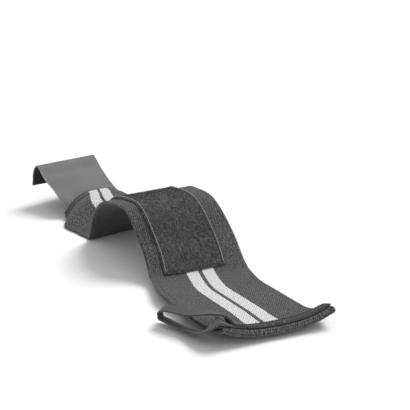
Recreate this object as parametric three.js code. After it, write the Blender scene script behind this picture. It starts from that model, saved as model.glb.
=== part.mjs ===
import * as THREE from 'three';

// An elastic wrist wrap, opened out and lying in waves on a flat surface.
// Millimetres, +Z up. +X runs along the wrap from the hook tab to the thumb loop, and +Y to its far edge.

// The elastic band. Its free end is turned under once as a hem.
const BAND_WIDTH = 76;
const BAND_THICKNESS = 1.9;
const HEM_DEPTH = 14;
const HEM_SLIT = 0.5;
const HEM_RAMP = 6;

// The stiff hook tab, sewn under the other end of the band.
const TAB_WIDTH = 68;
const TAB_THICKNESS = 1.3;
const TAB_OVERLAP = 6;
const TAB_RAMP = 6;

// The pile panel on top of the band, measured along the cloth from the end of the tab.
const PANEL_WIDTH = 49;
const PANEL_LENGTH = 102;
const PANEL_THICKNESS = 1.4;
const PANEL_END = 206;
const PANEL_NEAR_MARGIN = 10.5;

// The narrow tape across the hem, and the thumb loop made of the same tape.
const TAPE_WIDTH = 10;
const TAPE_THICKNESS = 1.2;
const TAPE_NEAR_MARGIN = 17;
const LOOP_LENGTH = 50;
const LOOP_TAIL = 7;
const TAIL_GAP = 0.6;
const TAIL_RISE = 0.15;
const LOOP_LIFT = 12;

// Pieces that are sewn on each other stay this far apart.
const SEAM_GAP = 0.3;

// How far each fold reaches along the floor, and how high it stands.
const CURL_REACH = 52;
const CURL_HEIGHT = 35;
const BLISTER_REACH = 58;
const BLISTER_HEIGHT = 20;
const ARCH_REACH = 118.5;
const ARCH_HEIGHT = 44.5;
const RUNOUT_REACH = 106.5;
const RUNOUT_HEIGHT = 8.5;

// How square the bulge is across the band: 2 would be a round arc. A shallow arc is longer than its chord
// by this factor times the square of its height over its width.
const BULGE_FULLNESS = 2.6;
const ARC_FACTOR = 8 / 3;

// Mesh spacing along and across the cloth, round the nose of the hem, and along and across the loop.
const STEP_ALONG = 3.8;
const STEP_ACROSS = 8.5;
const NOSE_STEPS = 6;
const LOOP_STEP = 2.1;
const LOOP_STRIPS = 3;

// How far to either side of a point its directions are measured.
const PROBE = 0.6;

// The lay of the cloth, fold by fold from the free end of the tab. Along a fold, run is a share of its
// reach and near, far and bulge are shares of its height: the heights of the two edges, and how far the
// middle stands above them. side is a share of the band's width, and turn is the heading in degrees.
const FOLDS = [
  {
    name: 'curl',
    reach: CURL_REACH,
    height: CURL_HEIGHT,
    rows: [
      { run: -0.01, side: -0.12, near: 0.52, far: 0.39, bulge: 0.00, turn: 21 },
      { run: -0.01, side: -0.11, near: 0.73, far: 0.70, bulge: 0.00, turn: 21 },
      { run: 0.13, side: -0.11, near: 1.03, far: 0.93, bulge: 0.00, turn: 23 },
      { run: 0.33, side: -0.09, near: 0.79, far: 0.71, bulge: 0.00, turn: 24 },
      { run: 0.66, side: -0.06, near: 0.57, far: 0.41, bulge: 0.00, turn: 25 },
      { run: 1.00, side: 0.02, near: 0.05, far: -0.02, bulge: 0.40, turn: 19 },
    ],
  },
  {
    name: 'blister',
    reach: BLISTER_REACH,
    height: BLISTER_HEIGHT,
    rows: [
      { run: 0.22, side: -0.03, near: 0.02, far: 0.28, bulge: 0.74, turn: 15 },
      { run: 0.40, side: -0.07, near: -0.02, far: 0.37, bulge: 0.62, turn: 12 },
      { run: 0.62, side: -0.03, near: 0.00, far: 0.16, bulge: 0.23, turn: 18 },
      { run: 0.92, side: 0.01, near: -0.02, far: -0.02, bulge: 0.00, turn: 9 },
      { run: 1.00, side: 0.02, near: -0.02, far: -0.02, bulge: 0.00, turn: 9 },
    ],
  },
  {
    name: 'arch',
    reach: ARCH_REACH,
    height: ARCH_HEIGHT,
    rows: [
      { run: 0.18, side: 0.01, near: 0.54, far: 0.47, bulge: 0.03, turn: 6 },
      { run: 0.43, side: -0.04, near: 0.92, far: 0.90, bulge: 0.00, turn: 5 },
      { run: 0.65, side: -0.03, near: 1.00, far: 0.87, bulge: 0.00, turn: 5 },
      { run: 0.83, side: 0.03, near: 0.45, far: 0.38, bulge: -0.02, turn: 5 },
      { run: 1.00, side: -0.01, near: 0.12, far: 0.04, bulge: -0.05, turn: 3 },
    ],
  },
  {
    name: 'runout',
    reach: RUNOUT_REACH,
    height: RUNOUT_HEIGHT,
    rows: [
      { run: 0.31, side: -0.11, near: 0.75, far: -0.03, bulge: -0.24, turn: -2 },
      { run: 0.65, side: -0.11, near: 0.68, far: -0.04, bulge: -0.19, turn: -7 },
      { run: 0.85, side: -0.10, near: 0.69, far: 0.50, bulge: -0.58, turn: -6 },
      { run: 1.00, side: -0.11, near: 1.25, far: 1.26, bulge: -0.90, turn: -6 },
    ],
  },
];

// The thumb loop, from its upper tail round the bend to its lower tail. out and back are shares of the
// loop's length, from the middle of the tails towards the near edge and towards the tab. lift is a share of
// the loop's lift. turn swings the width of the tape from along the band to across it, and tilt raises the
// edge of the tape that is turned away from the hook tab. Both are in degrees.
const LOOP_ROWS = [
  { name: 'upper_strand', out: 0.15, back: 0.03, lift: 0.40, turn: 12, tilt: 0 },
  { name: 'upper_strand', out: 0.24, back: 0.14, lift: 0.47, turn: 32, tilt: -4 },
  { name: 'upper_strand', out: 0.33, back: 0.30, lift: 0.37, turn: 46, tilt: -12 },
  { name: 'upper_strand', out: 0.42, back: 0.44, lift: 0.31, turn: 50, tilt: -18 },
  { name: 'upper_strand', out: 0.51, back: 0.60, lift: 0.34, turn: 52, tilt: -18 },
  { name: 'bend', out: 0.57, back: 0.71, lift: 0.31, turn: 46, tilt: -18 },
  { name: 'bend', out: 0.60, back: 0.78, lift: 0.15, turn: 40, tilt: -14 },
  { name: 'bend', out: 0.59, back: 0.79, lift: -0.08, turn: 38, tilt: -9 },
  { name: 'lower_strand', out: 0.53, back: 0.70, lift: -0.28, turn: 48, tilt: -4 },
  { name: 'lower_strand', out: 0.46, back: 0.58, lift: -0.40, turn: 60, tilt: 1 },
  { name: 'lower_strand', out: 0.41, back: 0.42, lift: -0.50, turn: 72, tilt: 4 },
  { name: 'lower_strand', out: 0.38, back: 0.24, lift: -0.50, turn: 74, tilt: 2 },
  { name: 'lower_strand', out: 0.36, back: 0.08, lift: -0.34, turn: 66, tilt: -20 },
  { name: 'lower_strand', out: 0.33, back: -0.02, lift: -0.04, turn: 48, tilt: -36 },
  { name: 'lower_strand', out: 0.25, back: -0.05, lift: 0.22, turn: 20, tilt: -14 },
  { name: 'lower_strand', out: 0.16, back: -0.02, lift: 0.12, turn: 5, tilt: -4 },
];

// Smooth values through rows of numbers, each row standing at its own distance. A value that turns back
// at a row is level there, so it never swings past its rows.
function splineThrough(distances, rows) {
  const last = rows.length - 1;
  const slopeBetween = (k, c) => (rows[k + 1][c] - rows[k][c]) / (distances[k + 1] - distances[k]);
  const slopes = rows.map((row, k) => row.map((value, c) => {
    if (k === 0) return slopeBetween(0, c);
    if (k === last) return slopeBetween(last - 1, c);
    const arriving = slopeBetween(k - 1, c);
    const leaving = slopeBetween(k, c);
    if (arriving * leaving <= 0) return 0;
    const before = distances[k] - distances[k - 1];
    const after = distances[k + 1] - distances[k];
    return (arriving * after + leaving * before) / (before + after);
  }));
  return (distance) => {
    let k = 0;
    while (k < last - 1 && distance > distances[k + 1]) k += 1;
    const span = distances[k + 1] - distances[k];
    const t = (distance - distances[k]) / span;
    const startWeight = 2 * t ** 3 - 3 * t ** 2 + 1;
    const endWeight = 3 * t ** 2 - 2 * t ** 3;
    const startSlope = (t ** 3 - 2 * t ** 2 + t) * span;
    const endSlope = (t ** 3 - t ** 2) * span;
    return rows[k].map((value, c) => startWeight * value + endWeight * rows[k + 1][c]
      + startSlope * slopes[k][c] + endSlope * slopes[k + 1][c]);
  };
}

// The running distance of each point from the first one.
function runningDistances(points) {
  const distances = [0];
  for (let k = 1; k < points.length; k += 1) {
    distances.push(distances[k - 1] + points[k].distanceTo(points[k - 1]));
  }
  return distances;
}

// Places along a length: every mark is kept, and the stretches between marks are divided evenly.
function divided(marks, step) {
  const sorted = [...marks].sort((a, b) => a - b);
  const places = [sorted[0]];
  for (let k = 1; k < sorted.length; k += 1) {
    const span = sorted[k] - sorted[k - 1];
    const parts = Math.ceil(span / step);
    for (let part = 1; part <= parts; part += 1) {
      places.push(sorted[k - 1] + (span * part) / parts);
    }
  }
  return places;
}

const within = (places, from, to) => places.filter((place) => place >= from && place <= to);

// The rows of all folds in millimetres, with the floor distance counted on from fold to fold.
function layRows() {
  const rows = [];
  let start = -CURL_REACH;
  FOLDS.forEach((fold) => {
    fold.rows.forEach((row) => rows.push([
      start + row.run * fold.reach,
      row.side * BAND_WIDTH,
      row.near * fold.height,
      row.far * fold.height,
      row.bulge * fold.height,
      THREE.MathUtils.degToRad(row.turn),
    ]));
    start += fold.reach;
  });
  return rows;
}

const LAY = layRows();
const LAY_CENTRES = LAY.map(([x, y, near, far]) => new THREE.Vector3(x, y, (near + far) / 2));
const LAY_DISTANCES = runningDistances(LAY_CENTRES);
const SEAM_DISTANCE = LAY_DISTANCES[FOLDS[0].rows.length - 1];
const TAB_START = -SEAM_DISTANCE;
const BAND_END = LAY_DISTANCES[LAY_DISTANCES.length - 1] - SEAM_DISTANCE;
const layAt = splineThrough(LAY_DISTANCES, LAY);

// The underside of the lowest cloth. along is counted from the sewn end of the tab, across from the middle
// of the band. Where the lay would pass below the floor, the cloth rests flat on it.
function clothPoint(along, across) {
  const [x, y, nearHeight, farHeight, bulge, turn] = layAt(along + SEAM_DISTANCE);
  const near = Math.max(nearHeight, 0);
  const far = Math.max(farHeight, 0);
  const flatShare = 1 - ARC_FACTOR * (bulge / BAND_WIDTH) ** 2;
  const chord = BAND_WIDTH * flatShare;
  const slopeSine = (far - near) / chord;
  const slopeCosine = Math.sqrt(1 - slopeSine ** 2);
  const share = across / (BAND_WIDTH / 2);
  const reachAcross = (share * chord) / 2;
  const point = new THREE.Vector3(
    x - Math.sin(turn) * slopeCosine * reachAcross,
    y + Math.cos(turn) * slopeCosine * reachAcross,
    (near + far) / 2 + slopeSine * reachAcross,
  );
  point.z = Math.max(point.z + bulge * (1 - Math.abs(share) ** BULGE_FULLNESS), 0);
  return point;
}

// The direction along the cloth, the direction across it and the direction off its top side.
function clothFrame(along, across) {
  const forward = clothPoint(along + PROBE, across).sub(clothPoint(along - PROBE, across)).normalize();
  const sideways = clothPoint(along, across + PROBE).sub(clothPoint(along, across - PROBE)).normalize();
  const off = new THREE.Vector3().crossVectors(forward, sideways).normalize();
  return { forward, sideways, off };
}

function offCloth(along, across, lift) {
  return clothPoint(along, across).addScaledVector(clothFrame(along, across).off, lift);
}

// A closed slab of cloth. Each station is a cut through its thickness with an inner and an outer point,
// and place puts such a point into space for each line across the width.
function slabGeometry(stations, lines, place) {
  const positions = [];
  stations.forEach((station) => {
    [station.inner, station.outer].forEach((point) => {
      lines.forEach((line) => positions.push(...place(point, line).toArray()));
    });
  });
  const lastStation = stations.length - 1;
  const lastLine = lines.length - 1;
  const inner = (station, line) => 2 * station * lines.length + line;
  const outer = (station, line) => inner(station, line) + lines.length;
  const indices = [];
  const addQuad = (a, b, c, d) => indices.push(a, b, c, a, c, d);
  for (let k = 0; k < lastStation; k += 1) {
    for (let n = 0; n < lastLine; n += 1) {
      addQuad(outer(k, n), outer(k + 1, n), outer(k + 1, n + 1), outer(k, n + 1));
      addQuad(inner(k, n), inner(k, n + 1), inner(k + 1, n + 1), inner(k + 1, n));
    }
    addQuad(inner(k, 0), inner(k + 1, 0), outer(k + 1, 0), outer(k, 0));
    addQuad(inner(k, lastLine), outer(k, lastLine), outer(k + 1, lastLine), inner(k + 1, lastLine));
  }
  for (let n = 0; n < lastLine; n += 1) {
    addQuad(inner(0, n), outer(0, n), outer(0, n + 1), inner(0, n + 1));
    addQuad(
      inner(lastStation, n),
      inner(lastStation, n + 1),
      outer(lastStation, n + 1),
      outer(lastStation, n),
    );
  }
  const geometry = new THREE.BufferGeometry();
  geometry.setAttribute('position', new THREE.Float32BufferAttribute(positions, 3));
  geometry.setIndex(indices);
  geometry.computeVertexNormals();
  return geometry;
}

// A slab that follows the cloth, with its underside at liftAt above the lowest cloth.
function layerGeometry(places, lines, liftAt, thickness) {
  const stations = places.map((along) => ({
    inner: { along, lift: liftAt(along) },
    outer: { along, lift: liftAt(along) + thickness },
  }));
  return slabGeometry(stations, lines, (point, across) => offCloth(point.along, across, point.lift));
}

function clothPiece(name, geometry, color, roughness) {
  const material = new THREE.MeshStandardMaterial({ color, roughness, metalness: 0 });
  const mesh = new THREE.Mesh(geometry, material);
  mesh.name = name;
  return mesh;
}

// Places that several pieces share, so that their facets run side by side.
const NEAR_EDGE = -BAND_WIDTH / 2;
const FAR_EDGE = BAND_WIDTH / 2;
const NOSE_RADIUS = BAND_THICKNESS + HEM_SLIT / 2;
const NOSE_CENTRE = BAND_END - NOSE_RADIUS;
const HEM_EDGE = BAND_END - HEM_DEPTH;
const HEM_RAMP_START = HEM_EDGE - HEM_RAMP;
const PANEL_START = PANEL_END - PANEL_LENGTH;
const PANEL_NEAR = NEAR_EDGE + PANEL_NEAR_MARGIN;
const PANEL_FAR = PANEL_NEAR + PANEL_WIDTH;
const TAPE_START = NOSE_CENTRE - TAPE_WIDTH;
const TAPE_NEAR = NEAR_EDGE + TAPE_NEAR_MARGIN;

const PLACES = divided([
  TAB_START, -TAB_OVERLAP, 0, TAB_RAMP, PANEL_START, PANEL_END,
  HEM_RAMP_START, HEM_EDGE, TAPE_START, NOSE_CENTRE,
], STEP_ALONG);
const LINES = divided([
  NEAR_EDGE, -TAB_WIDTH / 2, PANEL_NEAR, TAPE_NEAR, PANEL_FAR, TAB_WIDTH / 2, FAR_EDGE,
], STEP_ACROSS);

// The band climbs over the tab at one end, and over its own turned-under hem at the other.
function bandLift(along) {
  const overTab = 1 - THREE.MathUtils.smoothstep(along, 0, TAB_RAMP);
  const overHem = THREE.MathUtils.smoothstep(along, HEM_RAMP_START, HEM_EDGE);
  return overTab * (TAB_THICKNESS + SEAM_GAP) + overHem * (BAND_THICKNESS + HEM_SLIT);
}

const onBand = (along) => bandLift(along) + BAND_THICKNESS + SEAM_GAP;

function hookTab() {
  const places = within(PLACES, TAB_START, 0);
  const lines = within(LINES, -TAB_WIDTH / 2, TAB_WIDTH / 2);
  return clothPiece('hook_tab', layerGeometry(places, lines, () => 0, TAB_THICKNESS), 0x7d7d7d, 0.55);
}

function elasticBand() {
  const stations = within(PLACES, -TAB_OVERLAP, NOSE_CENTRE).map((along) => ({
    inner: { along, lift: bandLift(along) },
    outer: { along, lift: bandLift(along) + BAND_THICKNESS },
  }));
  const aroundNose = (radius, angle) => ({
    along: NOSE_CENTRE + radius * Math.cos(angle),
    lift: NOSE_RADIUS + radius * Math.sin(angle),
  });
  for (let step = 1; step < NOSE_STEPS; step += 1) {
    const angle = Math.PI / 2 - (Math.PI * step) / NOSE_STEPS;
    stations.push({ inner: aroundNose(HEM_SLIT / 2, angle), outer: aroundNose(NOSE_RADIUS, angle) });
  }
  within(PLACES, HEM_EDGE, NOSE_CENTRE).reverse().forEach((along) => stations.push({
    inner: { along, lift: BAND_THICKNESS },
    outer: { along, lift: 0 },
  }));
  const place = (point, across) => offCloth(point.along, across, point.lift);
  const geometry = slabGeometry(stations, LINES, place);
  return clothPiece('elastic_band', geometry, 0x4d4d4f, 0.9);
}

function pilePanel() {
  const places = within(PLACES, PANEL_START, PANEL_END);
  const lines = within(LINES, PANEL_NEAR, PANEL_FAR);
  return clothPiece('pile_panel', layerGeometry(places, lines, onBand, PANEL_THICKNESS), 0x3f3f41, 1);
}

function endTape() {
  const places = within(PLACES, TAPE_START, NOSE_CENTRE);
  const lines = within(LINES, TAPE_NEAR, FAR_EDGE);
  return clothPiece('end_tape', layerGeometry(places, lines, onBand, TAPE_THICKNESS), 0x56565a, 0.85);
}

// The loop starts and ends in two stacked tails at the near end of the tape, level on the hem, which curves
// up beside them. The tails are cut square, so they stand off the tape by as much more as the hem runs askew.
function thumbLoop() {
  const jointAlong = (TAPE_START + NOSE_CENTRE) / 2;
  const tapeEnd = clothFrame(jointAlong, TAPE_NEAR);
  const askew = (TAPE_WIDTH / 2) * Math.abs(tapeEnd.forward.dot(tapeEnd.sideways));
  const jointAcross = TAPE_NEAR - TAIL_GAP - askew - LOOP_TAIL / 2;
  const { forward, sideways, off } = clothFrame(jointAlong, jointAcross);
  const outward = sideways.clone().negate();
  const joint = offCloth(jointAlong, jointAcross, onBand(jointAlong) + TAIL_RISE + TAPE_THICKNESS / 2);
  const tailStep = TAPE_THICKNESS + SEAM_GAP;
  const rows = [
    [-LOOP_TAIL / 2, 0, tailStep, 0, 0],
    [0, 0, tailStep, 0, 0],
    [LOOP_TAIL / 2, 0, tailStep, 0, 0],
    ...LOOP_ROWS.map((row) => [
      row.out * LOOP_LENGTH,
      row.back * LOOP_LENGTH,
      row.lift * LOOP_LIFT,
      THREE.MathUtils.degToRad(row.turn),
      THREE.MathUtils.degToRad(row.tilt),
    ]),
    [LOOP_TAIL / 2, 0, 0, 0, 0],
    [0, 0, 0, 0, 0],
    [-LOOP_TAIL / 2, 0, 0, 0, 0],
  ];
  const distances = runningDistances(rows.map(([out, back, lift]) => new THREE.Vector3(out, back, lift)));
  const rowAt = splineThrough(distances, rows);
  const pointAt = (distance) => {
    const [out, back, lift] = rowAt(distance);
    const point = joint.clone().addScaledVector(outward, out);
    return point.addScaledVector(forward, -back).addScaledVector(off, lift);
  };
  const tapePlace = ({ distance, lift }, across) => {
    const run = pointAt(distance + PROBE).sub(pointAt(distance - PROBE)).normalize();
    const [, , , turn, tilt] = rowAt(distance);
    const widthwise = forward.clone().multiplyScalar(Math.cos(turn) * Math.cos(tilt));
    widthwise.addScaledVector(outward, Math.sin(turn) * Math.cos(tilt)).addScaledVector(off, Math.sin(tilt));
    widthwise.addScaledVector(run, -widthwise.dot(run)).normalize();
    const face = new THREE.Vector3().crossVectors(run, widthwise);
    return pointAt(distance).addScaledVector(widthwise, across).addScaledVector(face, lift);
  };
  const stations = divided([0, distances[distances.length - 1]], LOOP_STEP).map((distance) => ({
    inner: { distance, lift: -TAPE_THICKNESS / 2 },
    outer: { distance, lift: TAPE_THICKNESS / 2 },
  }));
  const lines = divided([-TAPE_WIDTH / 2, TAPE_WIDTH / 2], TAPE_WIDTH / LOOP_STRIPS);
  return clothPiece('thumb_loop', slabGeometry(stations, lines, tapePlace), 0x56565a, 0.85);
}

const wristWrap = new THREE.Group();
wristWrap.name = 'wrist_wrap';
wristWrap.add(hookTab(), elasticBand(), pilePanel(), endTape(), thumbLoop());

// The origin is on the surface that the wrap lies on, below the middle of its outline.
const outline = new THREE.Box3().setFromObject(wristWrap);
const middle = outline.getCenter(new THREE.Vector3());
wristWrap.position.set(-middle.x, -middle.y, -outline.min.z);

export default wristWrap;
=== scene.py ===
"""A wrist wrap of elastic webbing, opened out and lying in waves on a pale floor."""

import math

import bpy
import numpy as np
from bpy.props import FloatProperty, FloatVectorProperty, IntProperty, PointerProperty
from mathutils import Euler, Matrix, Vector


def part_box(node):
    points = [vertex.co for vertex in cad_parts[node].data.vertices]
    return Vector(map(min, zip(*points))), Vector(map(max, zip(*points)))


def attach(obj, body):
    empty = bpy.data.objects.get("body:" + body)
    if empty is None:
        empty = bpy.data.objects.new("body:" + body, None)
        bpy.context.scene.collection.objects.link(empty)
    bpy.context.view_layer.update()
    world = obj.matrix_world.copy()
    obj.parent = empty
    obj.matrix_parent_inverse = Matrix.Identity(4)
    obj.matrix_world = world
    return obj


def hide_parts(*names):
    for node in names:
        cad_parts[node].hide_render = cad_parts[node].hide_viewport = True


bl_info = {
    "name": "Wrist Wrap",
    "version": (1, 0, 0),
    "blender": (4, 5, 0),
    "location": "3D View > Sidebar > Wrist Wrap",
    "description": "Makes an opened-out wrist wrap with a hook tab, a pile panel and a thumb loop",
    "category": "Mesh",
}

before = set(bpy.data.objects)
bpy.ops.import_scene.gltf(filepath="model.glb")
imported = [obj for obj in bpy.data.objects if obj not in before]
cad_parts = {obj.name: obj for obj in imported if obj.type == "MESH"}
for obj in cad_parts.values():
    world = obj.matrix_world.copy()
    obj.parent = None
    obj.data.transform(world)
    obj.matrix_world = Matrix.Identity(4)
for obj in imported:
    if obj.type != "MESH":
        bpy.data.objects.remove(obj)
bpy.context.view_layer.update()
BODY = "root"


def length(name, description, default):
    """A size that a user may change, in metres."""
    return FloatProperty(
        name=name, description=description, default=default, min=0.0, precision=5, unit="LENGTH"
    )


def angle(name, description, degrees):
    """An angle that a user may change, written here in degrees."""
    return FloatProperty(name=name, description=description, default=math.radians(degrees), subtype="ANGLE")


def strength(name, description, default):
    """The strength of a light, which a user may change."""
    return FloatProperty(name=name, description=description, default=default, min=0.0, precision=3)


def place_at(name, description, default):
    """A place in the frame that a user may change, in metres."""
    return FloatVectorProperty(name=name, description=description, default=default, subtype="TRANSLATION")


def colour(name, description, default):
    """A linear colour that a user may change."""
    return FloatVectorProperty(name=name, description=description, default=default, subtype="COLOR", size=3)


class WrapSizes(bpy.types.PropertyGroup):
    """The sizes of the wrap's pieces."""

    band_width: length("Band width", "Width of the elastic band", 0.076)
    band_thickness: length("Band thickness", "Thickness of the webbing", 0.0019)
    hem_depth: length("Hem depth", "How much of the band is turned under", 0.014)
    hem_slit: length("Hem slit", "Space between the two layers of the hem", 0.0005)
    hem_ramp: length("Hem ramp", "Length over which the band climbs onto its hem", 0.006)
    tab_width: length("Tab width", "Width of the hook tab", 0.068)
    tab_thickness: length("Tab thickness", "Thickness of the hook tab with its hooks", 0.0013)
    tab_overlap: length("Tab overlap", "How far the band lies over the tab", 0.006)
    tab_ramp: length("Tab ramp", "Length over which the band climbs onto the tab", 0.006)
    hook_height: length("Hook height", "How far the hooks stand out of the strip", 0.0006)
    panel_width: length("Panel width", "Width of the pile panel", 0.049)
    panel_length: length("Panel length", "Length of the pile panel", 0.102)
    panel_thickness: length("Panel thickness", "Thickness of the pile panel with its pile", 0.0014)
    panel_end: length("Panel end", "Place of the panel's end along the cloth", 0.206)
    panel_near_margin: length("Panel margin", "Band left free beside the panel's near edge", 0.0105)
    pile_height: length("Pile height", "How far the loops of the pile stand up", 0.0009)
    tape_width: length("Tape width", "Width of the end tape and of the loop", 0.010)
    tape_thickness: length("Tape thickness", "Thickness of the tape", 0.0012)
    tape_near_margin: length("Tape margin", "Band left free beside the tape's near end", 0.017)
    loop_length: length("Loop length", "Length that the loop's rows are shares of", 0.050)
    loop_tail: length("Loop tail", "Length of each tail of the loop on the hem", 0.007)
    tail_gap: length("Tail gap", "Space between the tape and the loop's tails", 0.0006)
    tail_rise: length("Tail rise", "How much higher the tails stand over the curving hem", 0.00015)
    loop_lift: length("Loop lift", "Height that the loop's rows are shares of", 0.012)
    seam_gap: length("Seam gap", "Space between pieces sewn on each other", 0.0003)
    stripe_start: length("Stripe start", "Distance from the near edge to the first stripe", 0.0279)
    stripe_width: length("Stripe width", "Width of each pale stripe", 0.0093)
    stripe_gap: length("Stripe gap", "Dark webbing between the two stripes", 0.0030)


class FoldSizes(bpy.types.PropertyGroup):
    """How far each fold reaches along the floor, and how high it stands."""

    curl_reach: length("Curl reach", "Reach of the tab's curl", 0.052)
    curl_height: length("Curl height", "Height of the tab's curl", 0.035)
    blister_reach: length("Blister reach", "Reach of the small wave", 0.058)
    blister_height: length("Blister height", "Height of the small wave", 0.020)
    arch_reach: length("Arch reach", "Reach of the big wave", 0.1185)
    arch_height: length("Arch height", "Height of the big wave", 0.0445)
    runout_reach: length("Run-out reach", "Reach of the flat run", 0.1065)
    runout_height: length("Run-out height", "Height that the flat run's rows are shares of", 0.0085)


class FinishColours(bpy.types.PropertyGroup):
    """The colours of the cloths and threads."""

    webbing: colour("Webbing", "Dark ground of the band", (0.018, 0.018, 0.019))
    webbing_light: colour("Webbing light", "Paler threads of the band", (0.140, 0.140, 0.142))
    stripe: colour("Stripe", "Off-white woven stripes", (0.74, 0.74, 0.735))
    stripe_shade: colour("Stripe shade", "Shaded threads of the stripes", (0.40, 0.40, 0.40))
    pile: colour("Pile", "Loops of the pile panel", (0.040, 0.040, 0.041))
    pile_light: colour("Pile light", "Paler loops of the pile panel", (0.120, 0.120, 0.123))
    dots: colour("Dots", "Dark dots beside the band's edges", (0.012, 0.012, 0.012))
    strip: colour("Hook strip", "Smooth side of the hook tab", (0.108, 0.108, 0.108))
    strip_light: colour("Hook strip light", "Paler clouds of the hook strip", (0.150, 0.150, 0.150))
    strip_dark: colour("Hook strip dark", "Darker grain of the hook strip", (0.085, 0.085, 0.085))
    # Painted highlight: the pale colour of the strip's thin edges, where they catch the light.
    strip_edge_highlight: colour("Hook strip edge", "Thin pale edges of the hook strip", (0.34, 0.34, 0.34))
    hooks: colour("Hooks", "Underside of the hook tab and its hooks", (0.030, 0.030, 0.031))
    hooks_light: colour("Hooks light", "Paler grain of the hooks", (0.060, 0.060, 0.060))
    between_hooks: colour("Between hooks", "Paler lines between the rows of hooks", (0.070, 0.070, 0.070))
    tape: colour("Tape", "Ribbed tape", (0.020, 0.020, 0.021))
    tape_light: colour("Tape light", "Paler ribs of the tape", (0.115, 0.115, 0.117))
    thread: colour("Thread", "Pale sewing thread", (0.46, 0.46, 0.46))
    dark_thread: colour("Dark thread", "Dark sewing thread", (0.045, 0.045, 0.046))
    floor: colour("Floor", "Pale floor", (0.90, 0.90, 0.90))


class StageSettings(bpy.types.PropertyGroup):
    """The camera, the floor and the lights."""

    camera_place: place_at("Camera place", "Place of the camera", (0.5392, -0.25852, 0.21285))
    camera_heading: angle("Camera heading", "Heading of the camera", 60)
    camera_pitch: angle("Camera pitch", "How far the camera looks down", 16.585)
    field_of_view: angle("Field of view", "Angle that the picture covers", 26.68)
    floor_half: length("Floor half", "Half the side of the square floor", 40.0)
    key_place: place_at("Key place", "Where the key light shines from", (-0.13, 0.77, 1.20))
    key_softness: angle("Key softness", "Angle that the key light fills", 32)
    key_strength: strength("Key strength", "Strength of the key light", 2.2)
    fill_place: place_at("Fill place", "Where the fill light shines from", (0.80, -0.20, 0.90))
    fill_softness: angle("Fill softness", "Angle that the fill light fills", 60)
    fill_strength: strength("Fill strength", "Strength of the fill light", 0.35)
    surround: strength("Surround", "Strength of the white light from all round", 0.55)
    seed: IntProperty(name="Seed", description="Start of every random draw", default=7)


# The lay of the cloth, fold by fold from the free end of the tab. Along a fold, run is a share of its reach
# and near, far and bulge are shares of its height: the heights of the two edges, and how far the middle
# stands above them. side is a share of the band's width, and turn is the heading in degrees.
LAY_COLUMNS = ("run", "side", "near", "far", "bulge", "turn")
FOLDS = {
    "curl": (
        (-0.01, -0.12, 0.52, 0.39, 0.00, 21),
        (-0.01, -0.11, 0.73, 0.70, 0.00, 21),
        (0.13, -0.11, 1.03, 0.93, 0.00, 23),
        (0.33, -0.09, 0.79, 0.71, 0.00, 24),
        (0.66, -0.06, 0.57, 0.41, 0.00, 25),
        (1.00, 0.02, 0.05, -0.02, 0.40, 19),
    ),
    "blister": (
        (0.22, -0.03, 0.02, 0.28, 0.74, 15),
        (0.40, -0.07, -0.02, 0.37, 0.62, 12),
        (0.62, -0.03, 0.00, 0.16, 0.23, 18),
        (0.92, 0.01, -0.02, -0.02, 0.00, 9),
        (1.00, 0.02, -0.02, -0.02, 0.00, 9),
    ),
    "arch": (
        (0.18, 0.01, 0.54, 0.47, 0.03, 6),
        (0.43, -0.04, 0.92, 0.90, 0.00, 5),
        (0.65, -0.03, 1.00, 0.87, 0.00, 5),
        (0.83, 0.03, 0.45, 0.38, -0.02, 5),
        (1.00, -0.01, 0.12, 0.04, -0.05, 3),
    ),
    "runout": (
        (0.31, -0.11, 0.75, -0.03, -0.24, -2),
        (0.65, -0.11, 0.68, -0.04, -0.19, -7),
        (0.85, -0.10, 0.69, 0.50, -0.58, -6),
        (1.00, -0.11, 1.25, 1.26, -0.90, -6),
    ),
}
# How flat-topped a bulge is, and how much it shortens the chord of the cloth's width.
BULGE_FULLNESS = 2.6
ARC_FACTOR = 8 / 3
# Half the distance over which a direction on the cloth is measured.
PROBE = 0.0006
# The angles of the points on a quarter of a rounded rim, in degrees.
RIM_ANGLES = (0, 30, 55, 75, 90)
# How thick a thread is at its two ends, as a share of its thickness.
END_SHARE = 0.55

# The thumb loop, from its upper tail round the bend to its lower tail. out and back are shares of the loop's
# length, from the middle of the tails towards the near edge and towards the tab, lift is a share of its lift,
# turn swings the width of the tape from along the band to across it, and tilt raises its outer edge.
LOOP_COLUMNS = ("out", "back", "lift", "turn", "tilt")
LOOP_ROWS = (
    (0.15, 0.03, 0.40, 12, 0),
    (0.24, 0.14, 0.47, 32, -4),
    (0.33, 0.30, 0.37, 46, -12),
    (0.42, 0.44, 0.31, 50, -18),
    (0.51, 0.60, 0.34, 52, -18),
    (0.57, 0.71, 0.31, 46, -18),
    (0.60, 0.78, 0.15, 40, -14),
    (0.59, 0.79, -0.08, 38, -9),
    (0.53, 0.70, -0.28, 48, -4),
    (0.46, 0.58, -0.40, 60, 1),
    (0.41, 0.42, -0.50, 72, 4),
    (0.38, 0.24, -0.50, 74, 2),
    (0.36, 0.08, -0.34, 66, -20),
    (0.33, -0.02, -0.04, 48, -36),
    (0.25, -0.05, 0.22, 20, -14),
    (0.16, -0.02, 0.12, 5, -4),
)


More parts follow.
